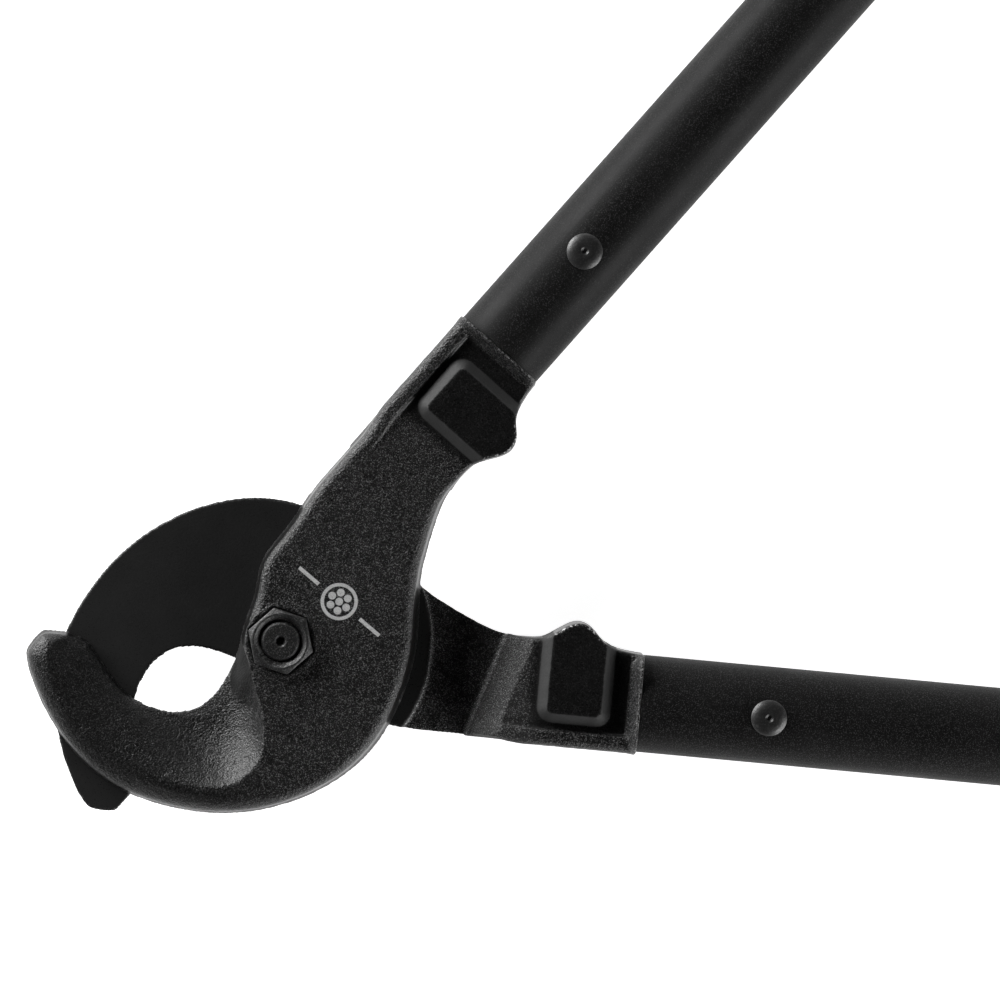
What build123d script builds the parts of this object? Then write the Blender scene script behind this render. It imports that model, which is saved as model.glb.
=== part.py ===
from build123d import *
import os
from math import cos, radians, sin, tan

# Long-handled shear-type cable cutter, lying flat.
# Origin on the pivot axis at the resting plane, +Z up along the pivot, +X from the pivot towards
# the handles along the tool's centre line, front lever (the upper one) with its handle on +Y.
# Both levers are the same forging: the rear lever is the front lever turned half a turn about the
# centre line in the shearing plane, so every piece is drawn once, on planes of its own side.

# ---------------------------------------------------------------- driving dimensions (mm, degrees)
SHEAR_Z = 19.0  # the shearing plane above the resting plane
SHEAR_GAP = 0.05  # running gap between the two ground faces
JAW_T = 12.0  # thickness of one jaw
LEVER_ANGLE = 26.85  # handle axis from the tool's centre line, at rest
AXIS_OFFSET = 10.0  # handle axis from the pivot axis
EDGE_FILLET = 3.0  # rounded forged edges
FAR = 100.0  # reaches past the whole forging

BEVEL_LAND = 0.6  # thickness left at the cutting edge
WIPE_R = 48.3  # the ground face reaches this far from the pivot on the handle side
RELIEF = 0.9  # the as-forged face behind it lies this much lower
RAMP_ANGLE = 44.0  # direction in which the inner face climbs to the lug
RELIEF_START = 20.0
RAMP_START = 66.4
RAMP_END = 76.4

LUG_FLOOR = 10.5  # half thickness in the lug's pockets
POCKET_FADE = (62.0, 82.0)  # the outer pocket fades in over this stretch of the neck
POCKET_BACK = 10.5  # back wall of the pockets, from the handle axis
POCKET_SLANT = ((87.0, -36.0), (72.4, POCKET_BACK))  # front end of the inner pocket, along the ramp
PAD_START = 84.0  # foot of the raised stop pad, along the handle
PAD_END = 108.0
PAD_BACK = 8.3
PAD_RISE = 3.3
PAD_SLOPE = 45.0
PAD_CORNER_R = 5.0

COLLAR_FOOT = 113.4  # foot of the collar's sloped wall, along the handle
COLLAR_FACE = 117.2  # face that the handle tube butts against
COLLAR_LIP = 0.7
PAST_COLLAR = COLLAR_FACE + 1.0
COLLAR_W = 32.5
COLLAR_H = 32.0
COLLAR_R = 6.0
TANG_D = 21.4
TANG_L = 75.0
TUBE_GAP = 0.1  # between the collar and the handle's pipes

TUBE_D = 31.75
TUBE_WALL = 3.0
CORE_WALL = 2.0
SLIP = 0.05  # radial clearance between pieces that slide into each other
HANDLE_END = 541.0
END_CAP_T = 6.0
END_CAP_PLUG_L = 14.0
END_CAP_ROUND = 3.0
GRIP_L = 150.0
GRIP_D = 36.0
GRIP_BEAD_D = 38.0
GRIP_BEAD_L = 9.0
GRIP_BEAD_SLOPE = 2.0
GRIP_ROUND = 0.9

RIVET_AT = 158.5  # rivet axis, along the handle
RIVET_HEAD_D = 11.5
RIVET_HEAD_RISE = 1.9  # above the tube's crown
RIVET_EDGE_T = 0.5
RIVET_SHOULDER = (0.36 * RIVET_HEAD_D, 0.35)  # on the dome: from the axis, below the crown
RIVET_FOOT_DEPTH = 2.0  # the head's rim reaches this far down round the tube
RIVET_SEAT_GAP = 0.01
RIVET_BARREL_D = 8.0
RIVET_PIN_D = 4.6
RIVET_DIMPLE_D = 2.6
RIVET_DIMPLE_DEPTH = 0.5

BOLT_D = 12.7
BOLT_HEAD_D = 24.0
BOLT_HEAD_H = 5.0
BOLT_EDGE = 0.8
BOLT_CENTRE_R = 1.8  # centre-drilled hole in the bolt's end
BOLT_CENTRE_DEPTH = 2.4
BOLT_CENTRE_TAPER = 30.0
BOLT_UNDER_NUT = 0.4  # the bolt's end stays this far inside the nut
PIVOT_CLEARANCE = 0.05  # radial, bolt in both jaws
NUT_AF = 19.0
NUT_H = 5.5
NUT_COUNTERSINK_R = 8.4
NUT_CHAMFER_R = 8.9  # the top is chamfered from here out to the corners
NUT_CHAMFER_SLOPE = 30.0
NUT_TURN = 19.5  # a corner of the nut from the centre line
NUT_POCKET_DEPTH = 2.0
NUT_POCKET_GAP = 0.2
WASHER_D = 19.2
WASHER_T = 2.5
SPRING_D = 22.0
SPRING_T = 0.9
SPRING_CONE = 0.6
SPRING_BORE_GAP = 0.3

# ------------------------------------------------------------------------------------ work planes
# Everything on a lever is drawn as the front lever.
TURN_OVER = Axis((0, 0, SHEAR_Z), (1, 0, 0))  # half a turn about this makes the rear lever
LEVER_X = Vector(cos(radians(LEVER_ANGLE)), sin(radians(LEVER_ANGLE)), 0)
LEVER_Y = Vector(-LEVER_X.Y, LEVER_X.X, 0)
RAMP_X = Vector(cos(radians(RAMP_ANGLE)), sin(radians(RAMP_ANGLE)), 0)
UP = Vector(0, 0, 1)
PIVOT = Vector(0, 0, SHEAR_Z)

on_jaw = Plane(origin=PIVOT)
# the shearing plane with x along the handle's axis, measured from the foot of the pivot on it
on_lever = Plane(origin=PIVOT + LEVER_Y * AXIS_OFFSET, x_dir=LEVER_X, z_dir=UP)
# upright planes, y up: through the handle's axis, and along the climb of the inner face
beside_lever = Plane(origin=on_lever.origin, x_dir=LEVER_X, z_dir=-LEVER_Y)
beside_ramp = Plane(origin=PIVOT, x_dir=RAMP_X, z_dir=RAMP_X.cross(UP))


def across_lever(u):
    """Plane square to the handle's axis at distance u, looking along the handle."""
    return Plane(origin=on_lever.origin + LEVER_X * u, x_dir=LEVER_Y, z_dir=LEVER_X)


def turned(angle, u, v):
    """Plan coordinates of a point given along and across a direction through the pivot."""
    a = radians(angle)
    return (u * cos(a) - v * sin(a), u * sin(a) + v * cos(a))


def shank(u, v):
    """Plan coordinates of a point given along and across the handle axis."""
    return turned(LEVER_ANGLE, u, v + AXIS_OFFSET)


# ------------------------------------------------------------------------------ plan of the forging
# As seen from its outer side. The hook is given from the pivot, the shank from the handle axis.
TIP = (-60.0, 26.6)
TIP_ROUND = [(-66.0, 29.7), (-69.6, 31.4), (-71.6, 31.8), (-73.4, 31.3), (-77.4, 29.1),
             (-79.0, 27.8), (-79.9, 26.0), (-80.9, 20.0)]
RIM = [(-80.9, 10.5), (-78.4, -4.5), (-70.8, -21.6), (-56.5, -35.9), (-36.5, -46.7),
       (-12.0, -50.5), (10.5, -45.8), (28.8, -32.5), (41.0, -16.0), (48.9, 0.6)]
NECK = [shank(57.0, -24.6), shank(67.0, -20.4), shank(77.5, -18.2), shank(84.5, -18.9)]
STOP = [shank(90.2, -22.4), shank(95.4, -24.6), shank(99.6, -23.2), shank(103.5, -19.4),
        shank(110.0, -16.9), shank(COLLAR_FACE, -16.2)]
BACK_END = shank(COLLAR_FACE, 16.0)
BACK_START = shank(48.0, 16.0)
HEAD_BACK = [(14.0, 33.7), (2.4, 26.2), (-3.5, 17.4), (-9.4, 10.5)]
THROAT_END = (-17.3, 0.0)
THROAT = [(-24.5, -6.4), (-33.5, -9.9), (-43.0, -7.9), (-50.6, -1.6)]
THROAT_START = (-55.6, 7.4)

# The dished bevel: its foot follows the cutting edge, run on a little past both ends, and its
# crest lies on the outer face.
BEVEL_FOOT_START = (-61.2, 32.0)
BEVEL_FOOT_END = (-15.4, 2.4)
BEVEL_CREST = [(-70.0, 36.0), (-71.5, 18.0), (-68.0, -3.0), (-58.0, -21.0), (-44.0, -33.0),
               (-31.0, -37.2), (-20.5, -33.0), (-14.5, -20.0), (-12.2, 6.8)]
BEVEL_OPEN_Y = 60.0  # the cutter of the bevel runs out here, clear of the jaw
BEVEL_OPEN_X = -15.0  # and this much towards the tip


def direction(start, end):
    """Direction from one point of the plan to another."""
    return Vector(end[0] - start[0], end[1] - start[1])


def plan_outline():
    """The forging's outline, drawn in the line builder it is called in."""
    Spline(TIP, *TIP_ROUND, *RIM, *NECK, *STOP)
    Line(STOP[-1], BACK_END)
    Line(BACK_END, BACK_START)
    Spline(
        BACK_START, *HEAD_BACK, THROAT_END, *THROAT, THROAT_START,
        tangents=[direction(BACK_END, BACK_START), direction(THROAT_START, TIP)],
    )
    Line(THROAT_START, TIP)


def bevel_outline(points):
    """A closed section of the bevel's cutter: one side along the points, the rest off the jaw."""
    Spline(*points)
    open_end = (points[-1][0] + BEVEL_OPEN_X, BEVEL_OPEN_Y)
    open_start = (points[0][0], BEVEL_OPEN_Y)
    Polyline(points[-1], open_end, open_start, points[0])


def is_collar_end(edge):
    """True for the straight edges where the plan ends at the collar."""
    return abs(on_lever.to_local_coords(edge.center()).X - COLLAR_FACE) < 0.1


def save(piece, name):
    """Label one finished piece and write its STEP file."""
    piece.part.label = name
    export_step(piece.part, f"parts/{name}.step")


def save_pair(piece, name):
    """Write one piece of the front lever, and the same piece turned over for the rear lever."""
    save(piece, f"front_{name}")
    with BuildPart() as rear:
        add(piece.part.rotate(TURN_OVER, 180))
    save(rear, f"rear_{name}")


os.makedirs("parts", exist_ok=True)

# ------------------------------------------------------------------------------------- the forging
# Hooked blade, pivot head, neck, stop lug, collar and tang in one piece.
with BuildPart() as jaw:
    with BuildSketch(on_jaw.offset(-JAW_T)) as plan:
        with BuildLine():
            plan_outline()
        make_face()
    extrude(amount=2 * JAW_T)
    rims = jaw.faces().filter_by(Axis.Z).edges()
    fillet([rim for rim in rims if not is_collar_end(rim)], EDGE_FILLET)

    # the inner side is open to the other jaw, up to the ramp that climbs to the lug
    with BuildSketch(beside_ramp):
        with BuildLine():
            Polyline(
                (-FAR, -FAR), (-FAR, SHEAR_GAP / 2), (RAMP_START, SHEAR_GAP / 2),
                (RAMP_END, -JAW_T), (RAMP_END, -FAR), close=True,
            )
        make_face()
    extrude(amount=FAR, both=True, mode=Mode.SUBTRACT)

    # behind the other jaw's wiping circle the inner face stays as forged, a little lower
    with BuildSketch(on_jaw):
        with BuildLine():
            corners = [(RELIEF_START, -FAR), (RAMP_START, -FAR), (RAMP_START, FAR), (RELIEF_START, FAR)]
            Polyline(*[turned(RAMP_ANGLE, *corner) for corner in corners], close=True)
        make_face()
        Circle(WIPE_R, mode=Mode.SUBTRACT)
    extrude(amount=RELIEF, mode=Mode.SUBTRACT)

    # pocket in the outer face of the lug, fading in along the neck
    with BuildSketch(beside_lever.offset(-POCKET_BACK)):
        with BuildLine():
            Polyline(
                (POCKET_FADE[0], JAW_T), (POCKET_FADE[1], LUG_FLOOR), (PAST_COLLAR, LUG_FLOOR),
                (PAST_COLLAR, FAR), (POCKET_FADE[0], FAR), close=True,
            )
        make_face()
    extrude(amount=FAR, mode=Mode.SUBTRACT)

    # pocket in its inner face, from the top of the ramp
    with BuildSketch(on_lever.offset(-LUG_FLOOR)):
        with BuildLine():
            Polyline(
                *POCKET_SLANT, (PAST_COLLAR, POCKET_BACK),
                (PAST_COLLAR, POCKET_SLANT[0][1]), close=True,
            )
        make_face()
    extrude(amount=-FAR, mode=Mode.SUBTRACT)

    # raised stop pads with sloping walls, trimmed to the plan
    envelope = extrude(plan.sketch, amount=3 * JAW_T, both=True, mode=Mode.PRIVATE)
    with BuildSketch(on_lever.offset(LUG_FLOOR), mode=Mode.PRIVATE) as pad_foot:
        with Locations(((PAD_START + PAD_END) / 2, PAD_BACK - COLLAR_W)):
            RectangleRounded(PAD_END - PAD_START, 2 * COLLAR_W, PAD_CORNER_R)
    pad = extrude(pad_foot.sketch, amount=PAD_RISE, taper=PAD_SLOPE, mode=Mode.PRIVATE)
    add(pad & envelope)
    add(mirror(pad, about=on_lever, mode=Mode.PRIVATE) & envelope)

    # dished bevel down to the cutting edge
    with BuildSketch(on_jaw.offset(BEVEL_LAND)):
        with BuildLine():
            cutting_edge = [TIP, THROAT_START, *reversed(THROAT), THROAT_END]
            bevel_outline([BEVEL_FOOT_START, *cutting_edge, BEVEL_FOOT_END])
        make_face()
    with BuildSketch(on_jaw.offset(JAW_T)):
        with BuildLine():
            bevel_outline(BEVEL_CREST)
        make_face()
    loft(ruled=True, mode=Mode.SUBTRACT)

    # collar with a sloping wall towards the lug, and the tang behind it
    with BuildSketch(across_lever(COLLAR_FOOT)):
        RectangleRounded(COLLAR_W, 2 * LUG_FLOOR, COLLAR_R)
    with BuildSketch(across_lever(COLLAR_FACE - COLLAR_LIP)) as collar:
        RectangleRounded(COLLAR_W, COLLAR_H, COLLAR_R)
    loft()
    extrude(collar.sketch, amount=COLLAR_LIP)
    with BuildSketch(across_lever(COLLAR_FACE)):
        Circle(TANG_D / 2)
    extrude(amount=TANG_L)

    # nut pocket, pivot bore and rivet hole
    with BuildSketch(on_jaw.offset(JAW_T)):
        RegularPolygon(NUT_AF / 2 + NUT_POCKET_GAP, 6, major_radius=False, rotation=NUT_TURN)
    extrude(amount=-NUT_POCKET_DEPTH, mode=Mode.SUBTRACT)
    with BuildSketch(on_jaw):
        Circle(BOLT_D / 2 + PIVOT_CLEARANCE)
    extrude(amount=2 * JAW_T, mode=Mode.SUBTRACT)
    with BuildSketch(on_lever):
        with Locations((RIVET_AT, 0)):
            Circle(RIVET_BARREL_D / 2 + SLIP)
    extrude(amount=TUBE_D, both=True, mode=Mode.SUBTRACT)
save_pair(jaw, "jaw")

# -------------------------------------------------------------------------------------- the handle
TUBE_START = COLLAR_FACE + TUBE_GAP
TUBE_END = HANDLE_END - END_CAP_T
TUBE_BORE_D = TUBE_D - 2 * TUBE_WALL
CORE_D = TUBE_BORE_D - 2 * SLIP
CORE_BORE_D = CORE_D - 2 * CORE_WALL
GRIP_START = HANDLE_END - GRIP_L
RIVET_HOLE_R = RIVET_BARREL_D / 2 + SLIP

# outer tube, with the rivet's cross hole
with BuildPart() as handle_tube:
    with BuildSketch(across_lever(TUBE_START)):
        Circle(TUBE_D / 2)
        Circle(TUBE_BORE_D / 2, mode=Mode.SUBTRACT)
    extrude(amount=TUBE_END - TUBE_START)
    with BuildSketch(on_lever):
        with Locations((RIVET_AT, 0)):
            Circle(RIVET_HOLE_R)
    extrude(amount=TUBE_D, both=True, mode=Mode.SUBTRACT)
save_pair(handle_tube, "handle_tube")

# steel core pipe that joins the tang to the outer tube
with BuildPart() as handle_core:
    with BuildSketch(across_lever(TUBE_START)):
        Circle(CORE_D / 2)
        Circle(CORE_BORE_D / 2, mode=Mode.SUBTRACT)
    extrude(amount=TUBE_END - TUBE_START)
    with BuildSketch(on_lever):
        with Locations((RIVET_AT, 0)):
            Circle(RIVET_HOLE_R)
    extrude(amount=TUBE_D, both=True, mode=Mode.SUBTRACT)
save_pair(handle_core, "handle_core")

# two-piece rivet through tube, core and tang: a hollow barrel from the inner side of the tool and
# a pin from the outer side, each with a domed head bedded on the tube
HEAD_TOP = TUBE_D / 2 + RIVET_HEAD_RISE
HEAD_SEAT = TUBE_D / 2 + RIVET_SEAT_GAP
with BuildPart() as rivet_seat:
    with BuildSketch(across_lever(RIVET_AT - RIVET_HEAD_D)):
        Circle(HEAD_SEAT)
    extrude(amount=2 * RIVET_HEAD_D)


def domed_head():
    """Half outline of a domed head with a small dimple, its axis upright through the origin."""
    foot = (RIVET_HEAD_D / 2, TUBE_D / 2 - RIVET_FOOT_DEPTH)
    brim = (RIVET_HEAD_D / 2, TUBE_D / 2 + RIVET_EDGE_T)
    crown = (RIVET_DIMPLE_D / 2, HEAD_TOP)
    dimple_z = HEAD_TOP - RIVET_DIMPLE_DEPTH
    Polyline(crown, (RIVET_DIMPLE_D / 4, dimple_z), (0, dimple_z), (0, foot[1]), foot, brim)
    shoulder = (RIVET_SHOULDER[0], HEAD_TOP - RIVET_SHOULDER[1])
    ThreePointArc(brim, shoulder, crown)


at_rivet = Plane(origin=on_lever.origin + LEVER_X * RIVET_AT, x_dir=LEVER_X, z_dir=-LEVER_Y)
under_rivet = Plane(origin=at_rivet.origin, x_dir=LEVER_X, z_dir=LEVER_Y)
rivet_axis = Axis(at_rivet.origin, UP)

with BuildPart() as rivet_pin:
    with BuildSketch(at_rivet):
        with BuildLine():
            domed_head()
        make_face()
    revolve(axis=rivet_axis)
    add(rivet_seat.part, mode=Mode.SUBTRACT)
    with BuildSketch(on_lever.offset(TUBE_D / 2 + RIVET_EDGE_T)):
        with Locations((RIVET_AT, 0)):
            Circle(RIVET_PIN_D / 2 - SLIP)
    extrude(amount=-TUBE_D)
save_pair(rivet_pin, "rivet_pin")

with BuildPart() as rivet_barrel:
    with BuildSketch(under_rivet):
        with BuildLine():
            domed_head()
        make_face()
    revolve(axis=rivet_axis)
    add(rivet_seat.part, mode=Mode.SUBTRACT)
    with BuildSketch(on_lever.offset(-TUBE_D / 2 - RIVET_EDGE_T)):
        with Locations((RIVET_AT, 0)):
            Circle(RIVET_BARREL_D / 2)
    extrude(amount=TUBE_D)
    with BuildSketch(on_lever.offset(-TUBE_D / 2)):
        with Locations((RIVET_AT, 0)):
            Circle(RIVET_PIN_D / 2)
    extrude(amount=2 * TUBE_D, mode=Mode.SUBTRACT)
save_pair(rivet_barrel, "rivet_barrel")

# rubber grip sleeve with a bead at the end
with BuildPart() as grip:
    with BuildSketch(beside_lever) as sleeve:
        bore_r = TUBE_D / 2 + SLIP
        with BuildLine():
            Polyline(
                (GRIP_START, bore_r), (GRIP_START, GRIP_D / 2),
                (HANDLE_END - GRIP_BEAD_L - GRIP_BEAD_SLOPE, GRIP_D / 2),
                (HANDLE_END - GRIP_BEAD_L, GRIP_BEAD_D / 2), (HANDLE_END, GRIP_BEAD_D / 2),
                (HANDLE_END, bore_r), close=True,
            )
        make_face()
        fillet(sleeve.vertices().filter_by(lambda v: v.Y > bore_r), GRIP_ROUND)
    revolve(axis=Axis(on_lever.origin, LEVER_X))
save_pair(grip, "grip")

# plug that closes the handle's end
with BuildPart() as end_cap:
    with BuildSketch(across_lever(TUBE_END)):
        Circle(TUBE_D / 2)
    extrude(amount=END_CAP_T)
    fillet(end_cap.edges().sort_by(Axis(on_lever.origin, LEVER_X))[-1], END_CAP_ROUND)
    with BuildSketch(across_lever(TUBE_END)):
        Circle(CORE_BORE_D / 2 - SLIP)
    extrude(amount=-END_CAP_PLUG_L)
save_pair(end_cap, "end_cap")

# --------------------------------------------------------------------------------------- the pivot
FRONT_FACE = SHEAR_Z + JAW_T
REAR_FACE = SHEAR_Z - JAW_T
NUT_SEAT = FRONT_FACE - NUT_POCKET_DEPTH
WASHER_TOP = REAR_FACE + NUT_POCKET_DEPTH
NUT_TOP = NUT_SEAT + NUT_H
BOLT_END = NUT_TOP - BOLT_UNDER_NUT

# bolt from the rear: flat round head, plain shank, centre-drilled end
with BuildPart() as pivot_bolt:
    with BuildSketch(Plane.XY):
        Circle(BOLT_HEAD_D / 2)
    extrude(amount=BOLT_HEAD_H)
    chamfer(pivot_bolt.edges().filter_by(GeomType.CIRCLE), BOLT_EDGE)
    with BuildSketch(Plane.XY.offset(BOLT_HEAD_H)):
        Circle(BOLT_D / 2)
    extrude(amount=BOLT_END - BOLT_HEAD_H)
    chamfer(pivot_bolt.edges().sort_by(Axis.Z)[-1], BOLT_EDGE)
    with BuildSketch(Plane.XY.offset(BOLT_END)):
        Circle(BOLT_CENTRE_R)
    extrude(amount=-BOLT_CENTRE_DEPTH, taper=BOLT_CENTRE_TAPER, mode=Mode.SUBTRACT)
save(pivot_bolt, "pivot_bolt")

# nut, keyed in the front jaw's pocket, with a wide countersink round the bolt's end
with BuildPart() as pivot_nut:
    with BuildSketch(Plane.XY.offset(NUT_SEAT)):
        RegularPolygon(NUT_AF / 2, 6, major_radius=False, rotation=NUT_TURN)
    extrude(amount=NUT_H)
    with BuildSketch(Plane.XZ):
        with BuildLine():
            past_corner = NUT_AF
            drop = (past_corner - NUT_CHAMFER_R) * tan(radians(NUT_CHAMFER_SLOPE))
            Polyline((NUT_CHAMFER_R, NUT_TOP), (past_corner, NUT_TOP), (past_corner, NUT_TOP - drop),
                     close=True)
        make_face()
    revolve(axis=Axis.Z, mode=Mode.SUBTRACT)
    with BuildSketch(Plane.XY.offset(NUT_SEAT)):
        Circle(BOLT_D / 2 + SLIP)
    extrude(amount=NUT_H, mode=Mode.SUBTRACT)
    with BuildSketch(Plane.XZ):
        with BuildLine():
            bore_r = BOLT_D / 2 + SLIP
            Polyline((bore_r, NUT_TOP), (NUT_COUNTERSINK_R, NUT_TOP),
                     (bore_r, NUT_TOP - NUT_COUNTERSINK_R + bore_r), close=True)
        make_face()
    revolve(axis=Axis.Z, mode=Mode.SUBTRACT)
save(pivot_nut, "pivot_nut")

# washer seated in the rear jaw's pocket
with BuildPart() as pivot_washer:
    with BuildSketch(Plane.XY.offset(WASHER_TOP)):
        Circle(WASHER_D / 2)
        Circle(BOLT_D / 2 + PIVOT_CLEARANCE, mode=Mode.SUBTRACT)
    extrude(amount=-WASHER_T)
save(pivot_washer, "pivot_washer")

# conical spring washer between the bolt's head and the washer
with BuildPart() as pivot_spring_washer:
    with BuildSketch(Plane.XZ):
        with BuildLine():
            inner, outer = BOLT_D / 2 + SPRING_BORE_GAP, SPRING_D / 2
            low = BOLT_HEAD_H
            Polyline((outer, low), (outer, low + SPRING_T), (inner, low + SPRING_T + SPRING_CONE),
                     (inner, low + SPRING_CONE), close=True)
        make_face()
    revolve(axis=Axis.Z)
save(pivot_spring_washer, "pivot_spring_washer")
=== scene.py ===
"""Looks of a long-handled shear cable cutter that lies flat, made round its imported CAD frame.

Both levers are the same set of pieces. Each piece of a pair is made once, where the front lever has
it, and its twin is the same mesh turned half a turn about the centre line in the shearing plane.
"""

from math import cos, pi, radians, sin, tan

import bmesh
import bpy
import numpy as np
from mathutils import Matrix, Vector, noise
from mathutils.bvhtree import BVHTree
from mathutils.kdtree import KDTree


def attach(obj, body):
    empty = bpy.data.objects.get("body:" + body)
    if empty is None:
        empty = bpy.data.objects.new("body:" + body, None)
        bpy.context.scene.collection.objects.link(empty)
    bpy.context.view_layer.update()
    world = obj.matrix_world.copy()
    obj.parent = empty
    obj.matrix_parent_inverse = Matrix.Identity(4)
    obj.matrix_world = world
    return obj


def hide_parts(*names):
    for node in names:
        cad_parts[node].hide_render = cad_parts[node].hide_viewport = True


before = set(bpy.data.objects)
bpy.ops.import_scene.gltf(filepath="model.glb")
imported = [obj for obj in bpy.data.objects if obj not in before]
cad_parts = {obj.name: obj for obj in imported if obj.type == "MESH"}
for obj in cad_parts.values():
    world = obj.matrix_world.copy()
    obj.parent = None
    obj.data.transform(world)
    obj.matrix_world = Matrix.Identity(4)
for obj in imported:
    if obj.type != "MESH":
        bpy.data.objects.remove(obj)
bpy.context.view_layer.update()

MM = 0.001


def mm(*lengths):
    """Lengths in millimetres, carried over to metres."""
    return tuple(length * MM for length in lengths)


SHEAR_Z = 19.0 * MM  # the shearing plane
JAW_TOP = 31.0 * MM  # outer face of the front jaw
INNER_FACE = 19.03 * MM  # its ground face
LEVER_ANGLE = radians(26.85)  # handle axis from the centre line
AXIS_OFFSET = 10.0 * MM  # handle axis from the pivot axis
TURN_OVER = (
    Matrix.Translation((0, 0, SHEAR_Z))
    @ Matrix.Rotation(pi, 4, "X")
    @ Matrix.Translation((0, 0, -SHEAR_Z))
)
# handle frame: x along the front handle's axis, z up, origin at the foot of the pivot on that axis
HANDLE = (
    Matrix.Rotation(LEVER_ANGLE, 4, "Z")
    @ Matrix.Translation((0, AXIS_OFFSET, SHEAR_Z))
)


# ---------------------------------------------------------------------------------- mesh helpers
WELD_WITHIN = 0.001 * MM


def link(name, mesh):
    piece = bpy.data.objects.new(name, mesh)
    bpy.context.scene.collection.objects.link(piece)
    return piece


def fine_copy(node, name, voxel):
    """An even, fine mesh of a CAD node's shape."""
    welded = bmesh.new()
    welded.from_mesh(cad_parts[node].data)
    bmesh.ops.remove_doubles(welded, verts=welded.verts, dist=WELD_WITHIN)
    mesh = bpy.data.meshes.new(name)
    welded.to_mesh(mesh)
    welded.free()
    piece = link(name, mesh)
    remesh = piece.modifiers.new("even", "REMESH")
    remesh.mode = "VOXEL"
    remesh.voxel_size = voxel
    graph = bpy.context.evaluated_depsgraph_get()
    fine = bpy.data.meshes.new_from_object(piece.evaluated_get(graph))
    piece.modifiers.clear()
    piece.data = fine
    return piece


def points_of(mesh):
    co = np.empty(len(mesh.vertices) * 3)
    mesh.vertices.foreach_get("co", co)
    return co.reshape(-1, 3)


def normals_of(mesh):
    normals = np.empty(len(mesh.vertices) * 3)
    mesh.vertices.foreach_get("normal", normals)
    return normals.reshape(-1, 3)


def set_points(mesh, co):
    mesh.vertices.foreach_set("co", co.ravel())
    mesh.update()


def settle(mesh, node):
    """Lays every point back on a CAD node's surface, so that flats are flat and edges straight."""
    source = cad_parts[node].data
    corners = [v.co for v in source.vertices]
    surface = BVHTree.FromPolygons(corners, [p.vertices for p in source.polygons])
    set_points(mesh, np.array([surface.find_nearest(p)[0] for p in points_of(mesh)]))


def averager(mesh):
    """A function that gives every point the mean of its neighbours' values."""
    ends = np.empty(len(mesh.edges) * 2, int)
    mesh.edges.foreach_get("vertices", ends)
    a, b = ends.reshape(-1, 2).T
    size = len(mesh.vertices)
    count = np.bincount(ends, minlength=size)

    def mean(values):
        totals = [np.bincount(a, c[b], size) + np.bincount(b, c[a], size) for c in values.T]
        return np.array(totals).T / count[:, None]

    return mean


def relax(mesh, share, rounds):
    """Moves points towards the middle of their neighbours. The share is one number or one each."""
    mean = averager(mesh)
    co = points_of(mesh)
    share = np.broadcast_to(share, len(co))[:, None]
    for _ in range(rounds):
        co += share * (mean(co) - co)
    set_points(mesh, co)


def ramp(value, low, high):
    """0 below low, 1 above high, and smooth between."""
    t = np.clip((value - low) / (high - low), 0, 1)
    return t * t * (3 - 2 * t)


def shade_smooth(mesh):
    mesh.polygons.foreach_set("use_smooth", [True] * len(mesh.polygons))


def dress(piece, material, body, node):
    """Says what a piece looks like, what it rides on and which CAD node it stands for."""
    piece.data.materials.clear()
    piece.data.materials.append(material)
    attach(piece, body)
    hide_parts(node)


def make_pair(mesh, name, node, material):
    """The front lever's piece and its turned twin, in place of the CAD node on each lever."""
    for side, place in (("front", Matrix.Identity(4)), ("rear", TURN_OVER)):
        piece = link(f"{side}_{name}", mesh)
        piece.matrix_world = place
        dress(piece, material, f"{side}_lever", f"{side}_{node}")


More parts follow.
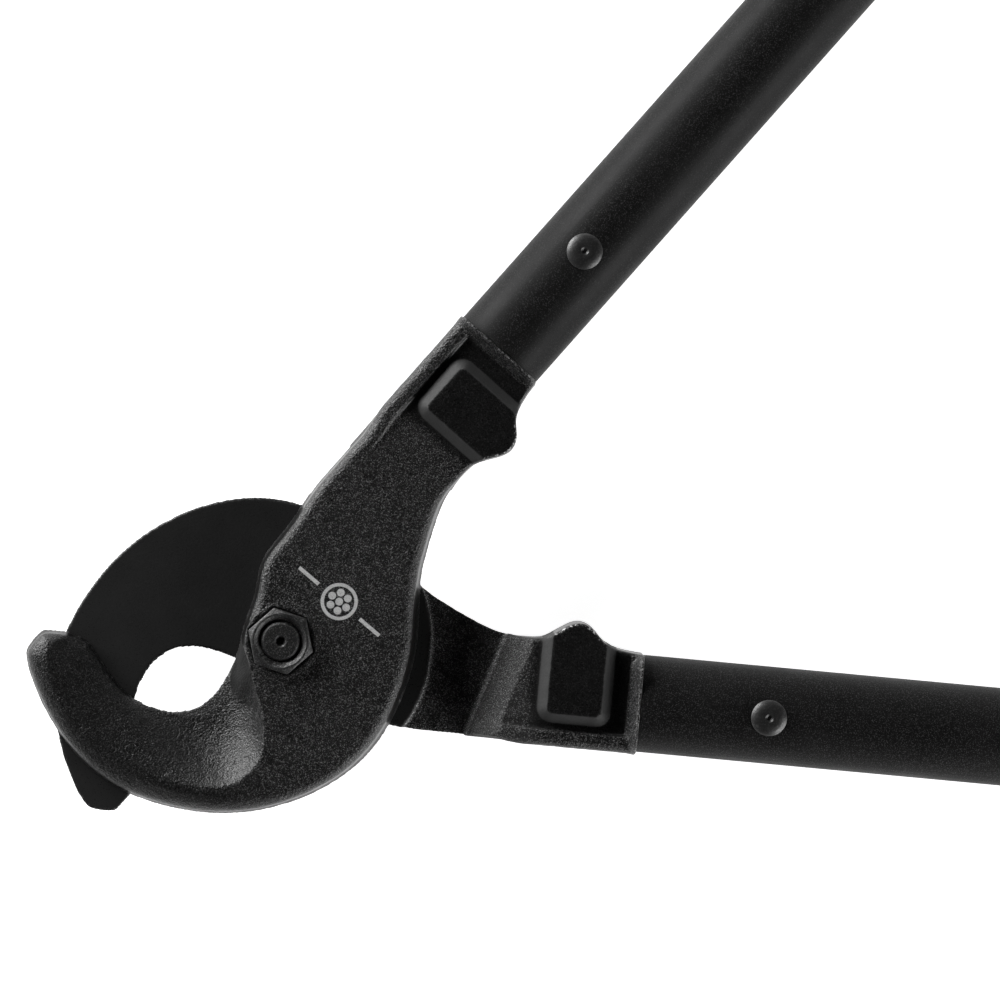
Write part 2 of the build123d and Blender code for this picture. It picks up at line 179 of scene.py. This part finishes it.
# ---------------------------------------------------------------------------------- node helpers
class Finish:
    """A material's node tree, with short ways to add nodes. Names use _ for a socket's spaces."""

    def __init__(self, name, **constants):
        self.material = bpy.data.materials.new(name)
        self.material.use_nodes = True
        self.tree = self.material.node_tree
        self.shader = self.tree.nodes["Principled BSDF"]
        self.set(**constants)
        self.place = self.add("ShaderNodeTexCoord").outputs["Object"]

    def add(self, kind, inputs=(), **settings):
        made = self.tree.nodes.new(kind)
        for key, value in settings.items():
            setattr(made, key, value)
        for key, value in dict(inputs).items():
            self.put(made.inputs[key], value)
        return made

    def put(self, socket, value):
        if isinstance(value, bpy.types.NodeSocket):
            self.tree.links.new(value, socket)
        else:
            socket.default_value = value

    def set(self, **sockets):
        for name, value in sockets.items():
            self.put(self.shader.inputs[name.replace("_", " ")], value)
        return self.material

    def math(self, operation, *values):
        return self.add("ShaderNodeMath", dict(enumerate(values)), operation=operation).outputs[0]

    def times(self, first, *others):
        for other in others:
            first = self.math("MULTIPLY", first, other)
        return first

    def plus(self, first, *others):
        for other in others:
            first = self.math("ADD", first, other)
        return first

    def minus(self, a, b):
        return self.math("SUBTRACT", a, b)

    def larger(self, a, b):
        return self.math("MAXIMUM", a, b)

    def off(self, value, middle=0.0):
        """How far a value is from a middle, either way."""
        return self.math("ABSOLUTE", self.minus(value, middle))

    def length(self, a, b):
        """Length of the plane vector (a, b)."""
        squares = self.plus(self.math("POWER", a, 2.0), self.math("POWER", b, 2.0))
        return self.math("SQRT", squares)

    def span(self, value, low, high, out_low=0.0, out_high=1.0):
        """Carries low..high over to out_low..out_high, smoothly and clamped."""
        inputs = {"Value": value, "From Min": low, "From Max": high, "To Min": out_low,
                  "To Max": out_high}
        made = self.add("ShaderNodeMapRange", inputs, interpolation_type="SMOOTHSTEP")
        return made.outputs["Result"]

    def noise(self, size, detail=2.0, where=None, roughness=0.5):
        """Noise with features of about the given size in metres, from 0 to 1."""
        inputs = {"Vector": where or self.place, "Scale": 1 / size, "Detail": detail,
                  "Roughness": roughness}
        return self.add("ShaderNodeTexNoise", inputs).outputs["Fac"]

    def mix(self, share, a, b):
        """A colour between a and b."""
        made = self.add("ShaderNodeMix", data_type="RGBA")
        for k, value in ((0, share), (6, a), (7, b)):  # factor and both colours
            self.put(made.inputs[k], value)
        return made.outputs[2]

    def bump(self, height, depth):
        return self.add("ShaderNodeBump", {"Height": height, "Distance": depth}).outputs["Normal"]

    def split(self, vector=None):
        return self.add("ShaderNodeSeparateXYZ", {"Vector": vector or self.place}).outputs

    def stretched(self, where, *scales):
        """A place whose noise is drawn out along the axes with a scale below 1."""
        return self.add("ShaderNodeMapping", {"Vector": where, "Scale": scales}).outputs["Vector"]

    def along_handle(self, sign=1):
        """The place turned so that x runs along the front handle, or along the rear for -1."""
        inputs = {"Vector": self.place, "Angle": -sign * LEVER_ANGLE}
        turned = self.add("ShaderNodeVectorRotate", inputs, rotation_type="Z_AXIS")
        return turned.outputs["Vector"]

    def pointiness(self):
        return self.add("ShaderNodeNewGeometry").outputs["Pointiness"]


def grey(value, warm=0.0):
    return (value * (1 + warm), value, value * (1 - warm), 1.0)


# ---------------------------------------------------------------------------- the forging's finish
# Each mask fades in or out between its two places: x and y from the pivot, along and across the
# front handle, or z.
GROUND_OFF = mm(0.1, 0.3)  # height off the ground face at which the forged skin starts
GROUND_END = mm(47.0, 48.0)  # behind this along the handle the inner face is left as forged
INNER_OFF = mm(1.0, 0.6)  # height off the ground face that still counts as inner side; there the forged face and its specks are painted lighter, as painted light in the other lever's shadow
POCKET_START = mm(80.0, 84.0)  # the lug's smooth outer pocket
POCKET_STOP = mm(113.6, 112.8)
POCKET_ACROSS = mm(20.9, 19.9)
STOP_START = mm(82.0, 88.0)  # the stop bump, where the two levers knock together
STOP_ACROSS = mm(-8.5, -12.0)
NOOK_START = mm(-25.0, -21.0)  # the steep, matt end of the bevel beside the nut, kept free of specks as painted shade
NOOK_STOP = mm(-12.0, -12.6)
NOOK_Y = mm(-15.0, -7.0)
NOOK_Z = mm(19.5, 20.5)
WORKED_X = mm(-50.0, -8.0)  # the hook is worked smoother than the head
CLIMB_Z = mm(18.9, 18.5)  # the matt ramp that climbs to the lug
CLIMB_STOP = mm(86.0, 82.0)

PAD_MIDDLE = mm(96.0, -14.2)  # the stop pad's foot in plan, seen along the handle
PAD_HALF = mm(12.0, 32.5)
PAD_CORNER_R = 5.0 * MM
PAD_RUN = 3.3 * MM  # plan width of the pad's sloped wall
PAD_FADE_OUT, PAD_FADE_IN = mm(0.2, 0.1)

SIGN_AT = mm(22.1, 4.9)  # the printed sign on the jaw's outer face
SIGN_Z = mm(29.0, 30.0)
SIGN_ANGLE = radians(-62)
SIGN_RING_R = 6.0 * MM
SIGN_RING_WIDTH = 1.1 * MM
SIGN_STRAND_R = 1.25 * MM
SIGN_STRAND_OFF = 2.95 * MM  # from the middle strand to each of the six round it
SIGN_RULE_START, SIGN_RULE_STOP = mm(8.6, 16.9)
SIGN_RULE_HALF = 0.55 * MM
RULE_FADE = 0.1 * MM
DOT_FADE = 0.06 * MM


def forged_steel():
    """Black painted forging: peened skin outside, ground flat inside, a printed cable sign."""
    f = Finish("forged_steel_black", Specular_IOR_Level=0.27)
    x, y, z = f.split()
    u, v, _ = f.split(f.along_handle())
    normal = f.add("ShaderNodeNewGeometry").outputs["Normal"]
    flat = f.off(f.split(normal)[2])  # 1 where the surface lies flat, 0 on upright walls
    grain = f.noise(0.55 * MM, 2.0, roughness=0.6)
    lumps = f.noise(1.1 * MM, 1.0)
    patches = f.noise(11 * MM, 3.0)

    off_ground = f.larger(f.span(f.off(z, INNER_FACE), *GROUND_OFF), f.span(u, *GROUND_END))
    inner = f.span(f.off(z, INNER_FACE), *INNER_OFF)
    pocket = f.times(f.span(u, *POCKET_START), f.span(v, *POCKET_ACROSS), f.span(u, *POCKET_STOP))
    skin = f.times(off_ground, f.minus(1.0, f.times(pocket, 0.85)))
    worked = f.span(x, *WORKED_X)
    wall = f.span(flat, 0.45, 0.3)
    nook = f.times(f.span(x, *NOOK_START), f.span(x, *NOOK_STOP), f.span(y, *NOOK_Y))
    nook = f.times(nook, f.span(flat, 0.93, 0.83), f.span(z, *NOOK_Z))
    climb = f.times(f.span(z, *CLIMB_Z), f.span(u, *CLIMB_STOP))
    pad_side = f.times(pad_wall(f, u, v), f.span(flat, 0.95, 0.85))

    # bare metal in specks, on edges and where the stops knock together
    # no specks in the nook beside the nut: painted shade
    share = f.times(f.plus(f.times(worked, 0.6), 0.4), skin, f.minus(1.0, f.larger(nook, wall)))
    specks = f.times(f.span(f.noise(0.38 * MM, 2.0, roughness=0.7), 0.55, 0.62), share)
    edge = f.span(f.pointiness(), 0.51, 0.60)
    brow = f.times(f.span(flat, 0.98, 0.88), f.span(flat, 0.2, 0.5))
    stop = f.times(f.span(v, *STOP_ACROSS), f.span(u, *STOP_START))
    chips = f.span(f.noise(0.9 * MM, 3.0), 0.50, 0.62)
    worn = f.times(f.larger(f.times(edge, 0.4), f.times(stop, brow)), chips)
    sign = f.times(cable_sign(f, x, y), f.span(z, *SIGN_Z))
    printed = f.times(sign, f.span(grain, 0.30, 0.42, 0.75, 1.0))

    paint = f.mix(patches, grey(0.002), grey(0.005))
    ground = f.mix(patches, grey(0.013), grey(0.019))
    colour = f.mix(off_ground, ground, paint)
    # painted light: the forged inner side lies in the other lever's shadow, so its paint and its bare
    # specks are painted lighter
    colour = f.mix(f.times(inner, off_ground), colour, grey(0.03))
    colour = f.mix(specks, colour, f.mix(inner, grey(0.11), grey(0.30)))
    colour = f.mix(pad_side, colour, grey(0.025))
    colour = f.mix(worn, colour, grey(0.42))
    colour = f.mix(printed, colour, grey(0.42))

    rough = f.plus(f.span(grain, 0.25, 0.75, 0.24, 0.36), f.times(patches, 0.04))
    rough = f.plus(rough, f.times(nook, 0.6), f.times(pad_side, 0.35), f.times(climb, 0.3))

    depth = f.plus(f.times(skin, f.span(wall, 0, 1, 0.92, 0.15)), 0.08)
    depth = f.times(depth, f.plus(f.times(worked, 0.2), 0.8))
    height = f.times(f.plus(grain, f.times(lumps, 0.7)), depth)
    return f.set(Base_Color=colour, Roughness=rough, Normal=f.bump(height, 0.30 * MM))


def pad_wall(f, u, v):
    """Mask of the sloped wall round the stop pad, which is left smooth and lighter."""
    past = [
        f.larger(f.minus(f.off(value, middle), half - PAD_CORNER_R), 0.0)
        for value, middle, half in zip((u, v), PAD_MIDDLE, PAD_HALF)
    ]
    out = f.minus(f.length(*past), PAD_CORNER_R)  # distance outside the pad's foot
    foot = f.span(out, PAD_FADE_OUT, -PAD_FADE_IN)
    return f.times(foot, f.span(out, -PAD_RUN - PAD_FADE_OUT, -PAD_RUN + PAD_FADE_IN))


def cable_sign(f, x, y):
    """Mask of a printed sign: a cable cut across, seven strands in a ring, between two rules."""
    dx, dy = f.minus(x, SIGN_AT[0]), f.minus(y, SIGN_AT[1])
    along = f.plus(f.times(dx, cos(SIGN_ANGLE)), f.times(dy, sin(SIGN_ANGLE)))
    across = f.minus(f.times(dy, cos(SIGN_ANGLE)), f.times(dx, sin(SIGN_ANGLE)))

    def dot(u, v, r):
        reach = f.length(f.minus(along, u), f.minus(across, v))
        return f.span(reach, r + DOT_FADE, r - DOT_FADE)

    ring = f.minus(dot(0.0, 0.0, SIGN_RING_R), dot(0.0, 0.0, SIGN_RING_R - SIGN_RING_WIDTH))
    mask = f.larger(ring, dot(0.0, 0.0, SIGN_STRAND_R))
    for k in range(6):
        u, v = SIGN_STRAND_OFF * cos(k * pi / 3), SIGN_STRAND_OFF * sin(k * pi / 3)
        mask = f.larger(mask, dot(u, v, SIGN_STRAND_R))
    far = f.off(along)
    rules = f.times(
        f.span(far, SIGN_RULE_START, SIGN_RULE_START + RULE_FADE),
        f.span(far, SIGN_RULE_STOP + RULE_FADE, SIGN_RULE_STOP),
        f.span(f.off(across), SIGN_RULE_HALF + RULE_FADE, SIGN_RULE_HALF),
    )
    return f.larger(mask, rules)


# -------------------------------------------------------------------------------- other finishes
def fibreglass(side):
    """Black gel coat on wound glass: satin, with faint lengthwise strands and dust specks."""
    f = Finish(f"fibreglass_black_{side}", Specular_IOR_Level=0.07)
    where = f.along_handle(1 if side == "front" else -1)
    fibre = f.noise(1.6 * MM, 4.0, f.stretched(where, 0.03, 1.0, 1.0))
    specks = f.span(f.noise(0.36 * MM, 2.0), 0.54, 0.68)
    cloud = f.noise(25 * MM, 3.0)
    colour = f.mix(cloud, grey(0.004), grey(0.008))
    colour = f.mix(specks, colour, grey(0.03))
    rough = f.plus(f.span(cloud, 0.3, 0.7, 0.38, 0.48), f.times(fibre, 0.08))
    height = f.plus(f.times(fibre, 0.6), f.times(specks, 0.7))
    return f.set(Base_Color=colour, Roughness=rough, Normal=f.bump(height, 0.08 * MM))


def black_oxide(name, shade, worn_shade, grain_depth):
    """Blackened steel: fine even grain, with the black rubbed thin on edges."""
    f = Finish(name, Metallic=0.35, Specular_IOR_Level=0.5)
    grain = f.noise(0.5 * MM, 3.0)
    smear = f.noise(3.0 * MM, 3.0)
    edge = f.span(f.pointiness(), 0.5, 0.58)
    worn = f.times(edge, f.span(smear, 0.3, 0.6, 0.3, 1.0))
    specks = f.span(f.noise(0.4 * MM, 2.0), 0.53, 0.65)
    colour = f.mix(worn, f.mix(smear, grey(shade * 0.8), grey(shade * 1.2)), grey(worn_shade))
    colour = f.mix(specks, colour, grey(worn_shade * 0.7))
    rough = f.span(grain, 0.3, 0.7, 0.34, 0.48)
    return f.set(Base_Color=colour, Roughness=rough, Normal=f.bump(grain, grain_depth))


def turned_steel(name, shade):
    """Plain turned steel with rings from the tool round the pivot axis."""
    f = Finish(name, Metallic=1.0)
    x, y, _ = f.split()
    rings = f.math("SINE", f.times(f.length(x, y), 2 * pi / (0.35 * MM)))
    smear = f.noise(4 * MM, 3.0)
    colour = f.mix(smear, grey(shade * 0.7), grey(shade * 1.2))
    rough = f.span(smear, 0.3, 0.7, 0.30, 0.45)
    return f.set(Base_Color=colour, Roughness=rough, Normal=f.bump(rings, 0.006 * MM))


def drawn_pipe(name):
    """Drawn steel pipe with draw lines and a thin film of oil."""
    f = Finish(name, Metallic=1.0)
    draw = f.noise(0.8 * MM, 4.0, f.stretched(f.place, 0.05, 0.4, 1.0))
    colour = f.mix(draw, grey(0.20), grey(0.34, warm=0.02))
    rough = f.span(draw, 0.3, 0.7, 0.28, 0.44)
    return f.set(Base_Color=colour, Roughness=rough, Normal=f.bump(draw, 0.02 * MM))


def rubber():
    """Black moulded rubber with a fine matt skin and a little dust in the grooves."""
    f = Finish("grip_rubber_black", Specular_IOR_Level=0.35, Sheen_Weight=0.08, Sheen_Roughness=0.5)
    skin = f.noise(0.45 * MM, 3.0)
    dust = f.noise(9 * MM, 4.0)
    groove = f.span(f.pointiness(), 0.44, 0.5, 1.0, 0.0)
    colour = f.mix(dust, grey(0.009), grey(0.014))
    colour = f.mix(f.times(groove, 0.35), colour, grey(0.035))
    rough = f.span(dust, 0.3, 0.7, 0.58, 0.72)
    return f.set(Base_Color=colour, Roughness=rough, Normal=f.bump(skin, 0.05 * MM))


def moulded_plastic():
    """Black moulded plastic with a spark-eroded texture."""
    f = Finish("cap_plastic_black", Specular_IOR_Level=0.45)
    spark = f.noise(0.6 * MM, 2.0)
    flow = f.noise(12 * MM, 2.0)
    colour = f.mix(flow, grey(0.010), grey(0.016))
    rough = f.span(spark, 0.3, 0.7, 0.42, 0.56)
    return f.set(Base_Color=colour, Roughness=rough, Normal=f.bump(spark, 0.07 * MM))


def pale_floor():
    f = Finish("pale_floor", Roughness=0.9, Specular_IOR_Level=0.1)
    return f.set(Base_Color=grey(0.86), Emission_Color=grey(1.0), Emission_Strength=0.9)


def give(node, material):
    """A better finish for a CAD node whose shape stays."""
    for material_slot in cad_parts[node].material_slots:
        material_slot.material = material


# --------------------------------------------------------------------------------------- forgings
FORGING_VOXEL = 0.645 * MM
BEVEL_LAND = 0.6 * MM  # height left at the cutting edge
BEVEL_CREST = np.array([
    (-58.0, 45.0), (-70.0, 36.0), (-71.5, 18.0), (-68.0, -3.0), (-58.0, -21.0), (-44.0, -33.0),
    (-31.0, -37.2), (-20.5, -33.0), (-14.5, -20.0), (-12.2, 6.8), (-25.0, 20.0),
]) * MM  # the bevel's upper end in plan, closed across the throat
HOLLOW_X = mm(-58.0, -24.0)  # the bevel turns from full to hollow between these
FILL_X, FILL_Y = mm(-24.0, -16.0), mm(-16.0, -8.0)  # and is full again beside the nut
HEAD_END = 60.0 * MM  # along the handle: the rounded back ends before the lug
HOOK_X = mm(-60.0, -5.0)  # the back's rounding grows from the head to the hook
THIN_X = mm(42.0, 72.0)  # the hook thins over this, on the far side of the pivot
THIN_BY = 0.22
SOFT_RISE = mm(0.8, 3.0)  # height over the ground face above which the hook is smoothed
SOFT_X = mm(-50.0, -18.0)
OFF_NUT = mm(12.5, 15.0)  # radius round the pivot beyond which the skin is hammered
EDGE_TIP = mm(-60.0, 26.6)  # where the cutting edge ends in plan
TIP_ROUND = mm(2.0, 4.5)
LIP = 0.9 * MM  # what is left of the trimmed flash stands out this far along the shearing plane
LIP_RISE = mm(0.4, 2.4)
DRAFT = tan(radians(5.0))  # the forging's walls lean in by this, away from the shearing plane
DRAFT_REACH = mm(3.0, 9.0)  # how far in from the wall the draft is felt
DRAFT_END = mm(66.0, 80.0)  # along the handle
DRAFT_BORE = mm(12.0, 13.5)  # radius round the pivot
BOSS_R, BOSS_WIDTH, BOSS_HEIGHT = mm(10.9, 1.1, 0.35)  # the low ring round the nut
BOSS_RISE = mm(29.0, 30.5)
SKIN_OFF = mm(0.2, 0.8)  # height off the ground face at which the hammered skin starts
WAVE_SIZE, WAVE_DEPTH = mm(4.5, 0.09)
GROUND_WITHIN = 0.35 * MM


def inside(co, outline):
    """True for the points whose plan lies inside a closed outline."""
    crossings = np.zeros(len(co), int)
    for (x1, y1), (x2, y2) in zip(outline, np.roll(outline, -1, axis=0)):
        spans = (y1 > co[:, 1]) != (y2 > co[:, 1])
        if y1 != y2:
            crossings += spans & (co[:, 0] < x1 + (co[:, 1] - y1) * (x2 - x1) / (y2 - y1))
    return crossings % 2 == 1


def place_along_handle(co):
    """How far along the front handle each point lies, from the foot of the pivot."""
    turned = np.array(HANDLE.inverted())
    return (co @ turned[:3, :3].T + turned[:3, 3])[:, 0]


def nearest_wall(co, normals):
    """For every point, how far the forging's side wall is in plan, and which way it faces."""
    rise = co[:, 2] - INNER_FACE
    upright = (np.abs(normals[:, 2]) < 0.2) & (rise > 3 * MM) & (rise < 8 * MM)
    wall = np.flatnonzero(upright & (np.hypot(co[:, 0], co[:, 1]) > OFF_NUT[0]))
    tree = KDTree(len(wall))
    for k in wall:
        tree.insert((co[k, 0], co[k, 1], 0), k)
    tree.balance()
    found = [tree.find((p[0], p[1], 0)) for p in co]
    facing = normals[[k for _, k, _ in found], :2]
    return np.array([gap for _, _, gap in found]), facing


def round_off(gap, width, depth):
    """Depth of a quarter-ellipse rounding at a distance from the wall."""
    return depth * (1 - np.sqrt(1 - np.clip(1 - gap / width, 0, 1) ** 2))


def shape_bevel(co, outer):
    """The bevel: full towards the tip, hollow like a spoon, and full again beside the nut."""
    rise = JAW_TOP - INNER_FACE - BEVEL_LAND
    share = np.clip((co[:, 2] - INNER_FACE - BEVEL_LAND) / rise, 0, 1)
    hollow = 0.5 + 1.8 * ramp(co[:, 0], *HOLLOW_X)
    hollow -= 1.5 * ramp(co[:, 0], *FILL_X) * ramp(co[:, 1], *FILL_Y)
    dish = inside(co, BEVEL_CREST) & outer
    co[dish, 2] = INNER_FACE + BEVEL_LAND + rise * (share**hollow)[dish]


def shape_hook(co, outer, gap, along):
    """The hook: its back is worked round, and it thins towards the tip."""
    hook = 1 - ramp(co[:, 0], *HOOK_X)
    crown = JAW_TOP - round_off(gap, (3 + 5 * hook) * MM, (3 + 2.5 * hook) * MM)
    head = outer & (along < HEAD_END)
    co[head, 2] = np.minimum(co[:, 2], crown)[head]
    thin = 1 - THIN_BY * ramp(-co[:, 0], *THIN_X)
    co[outer, 2] = (INNER_FACE + (co[:, 2] - INNER_FACE) * thin)[outer]


def soften(mesh, co, off_nut):
    """Smooths the hook most, the rest a little, and rounds the corner where the edge ends."""
    free = ramp(co[:, 2] - INNER_FACE, *SOFT_RISE)
    relax(mesh, free * 0.45 * (1 - ramp(co[:, 0], *SOFT_X)), 14)
    relax(mesh, off_nut * 0.35, 3)
    from_tip = np.hypot(co[:, 0] - EDGE_TIP[0], co[:, 1] - EDGE_TIP[1])
    relax(mesh, 0.5 * (1 - ramp(from_tip, *TIP_ROUND)), 25)


def draft_walls(mesh, gap, facing, along, reach):
    """Walls that lean in above the lip of the trimmed flash."""
    co = points_of(mesh)
    height = np.abs(co[:, 2] - SHEAR_Z)
    lean = LIP * ramp(height, *LIP_RISE) + DRAFT * height
    lean *= (1 - ramp(gap, *DRAFT_REACH)) * (1 - ramp(along, *DRAFT_END))
    lean *= ramp(reach, *DRAFT_BORE)
    shift = facing * lean[:, None]
    mean = averager(mesh)
    for _ in range(8):
        shift = (shift + mean(shift)) / 2
    co[:, :2] -= shift
    set_points(mesh, co)


def hammer(mesh, reach, off_nut):
    """A low boss round the nut, the hammered skin, and a ground face that stays flat."""
    co = points_of(mesh)
    normals = normals_of(mesh)
    boss = np.exp(-(((reach - BOSS_R) / BOSS_WIDTH) ** 2)) * ramp(normals[:, 2], 0.5, 0.9)
    co[:, 2] += BOSS_HEIGHT * boss * ramp(co[:, 2], *BOSS_RISE)
    skin = ramp(np.abs(co[:, 2] - INNER_FACE), *SKIN_OFF) * off_nut
    waves = np.array([noise.fractal(Vector(p) / WAVE_SIZE, 1.0, 2.0, 3) for p in co])
    co += normals * (WAVE_DEPTH * waves * skin)[:, None]
    ground = (np.abs(co[:, 2] - INNER_FACE) < GROUND_WITHIN) & (normals[:, 2] < -0.8)
    co[ground, 2] = INNER_FACE
    set_points(mesh, co)


def jaw_mesh():
    """The forging: soft where the hammer left it, sharp where it is ground."""
    piece = fine_copy("front_jaw", "forging", FORGING_VOXEL)
    mesh = piece.data
    bpy.data.objects.remove(piece)
    relax(mesh, 0.5, 3)
    settle(mesh, "front_jaw")

    co = points_of(mesh)
    gap, facing = nearest_wall(co, normals_of(mesh))
    along = place_along_handle(co)
    reach = np.hypot(co[:, 0], co[:, 1])
    off_nut = ramp(reach, *OFF_NUT)
    outer = co[:, 2] > INNER_FACE + BEVEL_LAND
    shape_bevel(co, outer)
    shape_hook(co, outer, gap, along)
    set_points(mesh, co)
    soften(mesh, co, off_nut)
    draft_walls(mesh, gap, facing, along, reach)
    hammer(mesh, reach, off_nut)
    shade_smooth(mesh)
    return mesh


make_pair(jaw_mesh(), "forging", "jaw", forged_steel())


# ------------------------------------------------------------------------------------------ grips
GRIP_START, GRIP_STOP = mm(391.0, 541.0)  # along the handle
GRIP_R, BEAD_R, BORE_R = mm(18.0, 19.0, 15.95)
MOUTH_WIDTH = 0.9 * MM  # of the flat ring at each end of the bore
GRIP_ROUND = 1.5 * MM  # radius of the sleeve's outer edges
GRIP_STEPS, GRIP_SIDES = 300, 144
BEAD_RISE = mm(11.0, 9.0)  # distance from the handle's end over which the bead rises
PATTERN_FRONT = mm(12.0, 16.0)  # distance from each end over which the pattern starts
PATTERN_BACK = mm(16.0, 20.0)
PATTERN_DEPTH = 0.55 * MM
FLUTES = 12
RIB_PITCH = 6.0 * MM


def grip_radius(u, turn):
    """Radius of the sleeve at a place along it and round it."""
    from_front, from_back = u - GRIP_START, GRIP_STOP - u
    r = GRIP_R + (BEAD_R - GRIP_R) * (1 - float(ramp(from_back, *reversed(BEAD_RISE))))
    lip = min(from_front, from_back)
    if lip < GRIP_ROUND:
        r -= GRIP_ROUND * (1 - (1 - (1 - lip / GRIP_ROUND) ** 2) ** 0.5)
    body = float(ramp(from_front, *PATTERN_FRONT) * ramp(from_back, *PATTERN_BACK))
    flute = max(0.0, cos(FLUTES * turn)) ** 0.7
    rib = max(0.0, sin(2 * pi * from_front / RIB_PITCH)) ** 0.5
    return r - PATTERN_DEPTH * body * (1 - flute * rib)


def grip_mesh():
    """Rubber sleeve: ring grooves and lengthwise flutes, and a bead at the handle's end."""
    length = GRIP_STOP - GRIP_START
    outside = [(GRIP_START + length * k / GRIP_STEPS, None) for k in range(GRIP_STEPS + 1)]
    mouth_r = BORE_R + MOUTH_WIDTH
    profile = [(GRIP_START, BORE_R), (GRIP_START, mouth_r)]
    profile += outside + [(GRIP_STOP, mouth_r), (GRIP_STOP, BORE_R)]
    mesh = bmesh.new()
    rings = []
    for u, radius in profile:
        ring = []
        for j in range(GRIP_SIDES):
            turn = 2 * pi * j / GRIP_SIDES
            r = radius or grip_radius(u, turn)
            ring.append(mesh.verts.new(HANDLE @ Vector((u, r * cos(turn), r * sin(turn)))))
        rings.append(ring)
    for one, two in zip(rings, rings[1:] + rings[:1]):
        for j in range(GRIP_SIDES):
            k = (j + 1) % GRIP_SIDES
            mesh.faces.new((one[j], one[k], two[k], two[j]))
    bmesh.ops.recalc_face_normals(mesh, faces=mesh.faces)
    made = bpy.data.meshes.new("grip")
    mesh.to_mesh(made)
    mesh.free()
    shade_smooth(made)
    return made


make_pair(grip_mesh(), "grip_sleeve", "grip", rubber())


# -------------------------------------------------------------------------------- small hard parts
pivot_finish = black_oxide("pivot_steel_black", 0.008, 0.10, 0.24 * MM)
for node, voxel, rounds in (("pivot_nut", 0.16 * MM, 5), ("pivot_bolt", 0.20 * MM, 4)):
    detailed = fine_copy(node, f"{node}_detail", voxel)
    relax(detailed.data, 0.5, rounds)
    shade_smooth(detailed.data)
    dress(detailed, pivot_finish, "front_lever", node)

rivet_finish = black_oxide("rivet_black", 0.014, 0.05, 0.05 * MM)
cap_finish = moulded_plastic()
core_finish = drawn_pipe("core_steel")
washer_finish = turned_steel("washer_steel", 0.25)
for side in ("front", "rear"):
    give(f"{side}_handle_tube", fibreglass(side))
    give(f"{side}_handle_core", core_finish)
    give(f"{side}_rivet_pin", rivet_finish)
    give(f"{side}_rivet_barrel", rivet_finish)
    give(f"{side}_end_cap", cap_finish)
give("pivot_washer", washer_finish)
give("pivot_spring_washer", washer_finish)


# ------------------------------------------------------------------------------------------ studio
CAMERA_TURN = radians(-21.55)  # the picture's upright leans this much from +Y
VIEW_AT = Vector(mm(82.3, 16.3, 19.0))  # middle of the picture, in the shearing plane
VIEW_WIDTH = 325.7 * MM  # width of the picture there
LENS = 120.0
SENSOR = 36.0
PANEL_AWAY, PANEL_HEIGHT = 1.3, 0.32  # from the middle of the picture
LIGHT_TURN = CAMERA_TURN + pi + radians(-40)  # from +X: where the key light stands
TOWARD_KEY = Vector((cos(LIGHT_TURN), sin(LIGHT_TURN), 0))
FLOOR_HALF = 4.0


def area_light(name, place, size, power):
    lamp = bpy.data.lights.new(name, "AREA")
    lamp.shape = "RECTANGLE"
    lamp.size, lamp.size_y = size
    lamp.energy = power
    holder = bpy.data.objects.new(name, lamp)
    holder.location = place
    holder.rotation_euler = (VIEW_AT - place).to_track_quat("-Z", "Y").to_euler()
    bpy.context.scene.collection.objects.link(holder)


def light_tent():
    """Soft light all round: bright low down, most of all from the key side, and dim overhead."""
    world = bpy.data.worlds.new("light_tent")
    world.use_nodes = True
    nodes, links = world.node_tree.nodes, world.node_tree.links
    sky = nodes.new("ShaderNodeTexCoord").outputs["Generated"]
    split = nodes.new("ShaderNodeSeparateXYZ")
    toward_key = nodes.new("ShaderNodeVectorMath")
    toward_key.operation = "DOT_PRODUCT"
    toward_key.inputs[1].default_value = TOWARD_KEY
    links.new(sky, split.inputs["Vector"])
    links.new(sky, toward_key.inputs[0])
    strength = nodes.new("ShaderNodeMath")
    strength.operation = "MULTIPLY"
    for k, source, values in (
        (0, split.outputs["Z"], (0.05, 0.38, 1.3, 0.015)),
        (1, toward_key.outputs["Value"], (-0.6, 0.9, 0.3, 1.6)),
    ):
        fade = nodes.new("ShaderNodeMapRange")
        fade.interpolation_type = "SMOOTHSTEP"
        for socket, value in zip(("From Min", "From Max", "To Min", "To Max"), values):
            fade.inputs[socket].default_value = value
        links.new(source, fade.inputs["Value"])
        links.new(fade.outputs["Result"], strength.inputs[k])
    links.new(strength.outputs[0], nodes["Background"].inputs["Strength"])
    nodes["Background"].inputs["Color"].default_value = grey(1.0)
    return world


camera = bpy.data.objects.new("camera", bpy.data.cameras.new("camera"))
camera.data.lens = LENS
camera.data.sensor_width = SENSOR
camera.location = VIEW_AT + Vector((0, 0, VIEW_WIDTH * LENS / SENSOR))
camera.rotation_euler = (0, 0, CAMERA_TURN)
bpy.context.scene.collection.objects.link(camera)
bpy.context.scene.camera = camera

panel_up = Vector((0, 0, PANEL_HEIGHT))
area_light("left_panel", VIEW_AT + TOWARD_KEY * PANEL_AWAY + panel_up, (1.1, 0.6), 42)
area_light("right_panel", VIEW_AT - TOWARD_KEY * PANEL_AWAY + panel_up, (1.2, 0.6), 24)
bpy.context.scene.world = light_tent()
bpy.context.scene.view_settings.view_transform = "Standard"

floor_mesh = bpy.data.meshes.new("floor")
floor_corners = [(FLOOR_HALF * i, FLOOR_HALF * j, 0) for i, j in ((-1, -1), (1, -1), (1, 1), (-1, 1))]
floor_mesh.from_pydata(floor_corners, [], [(0, 1, 2, 3)])
floor_mesh.materials.append(pale_floor())
floor = link("floor", floor_mesh)
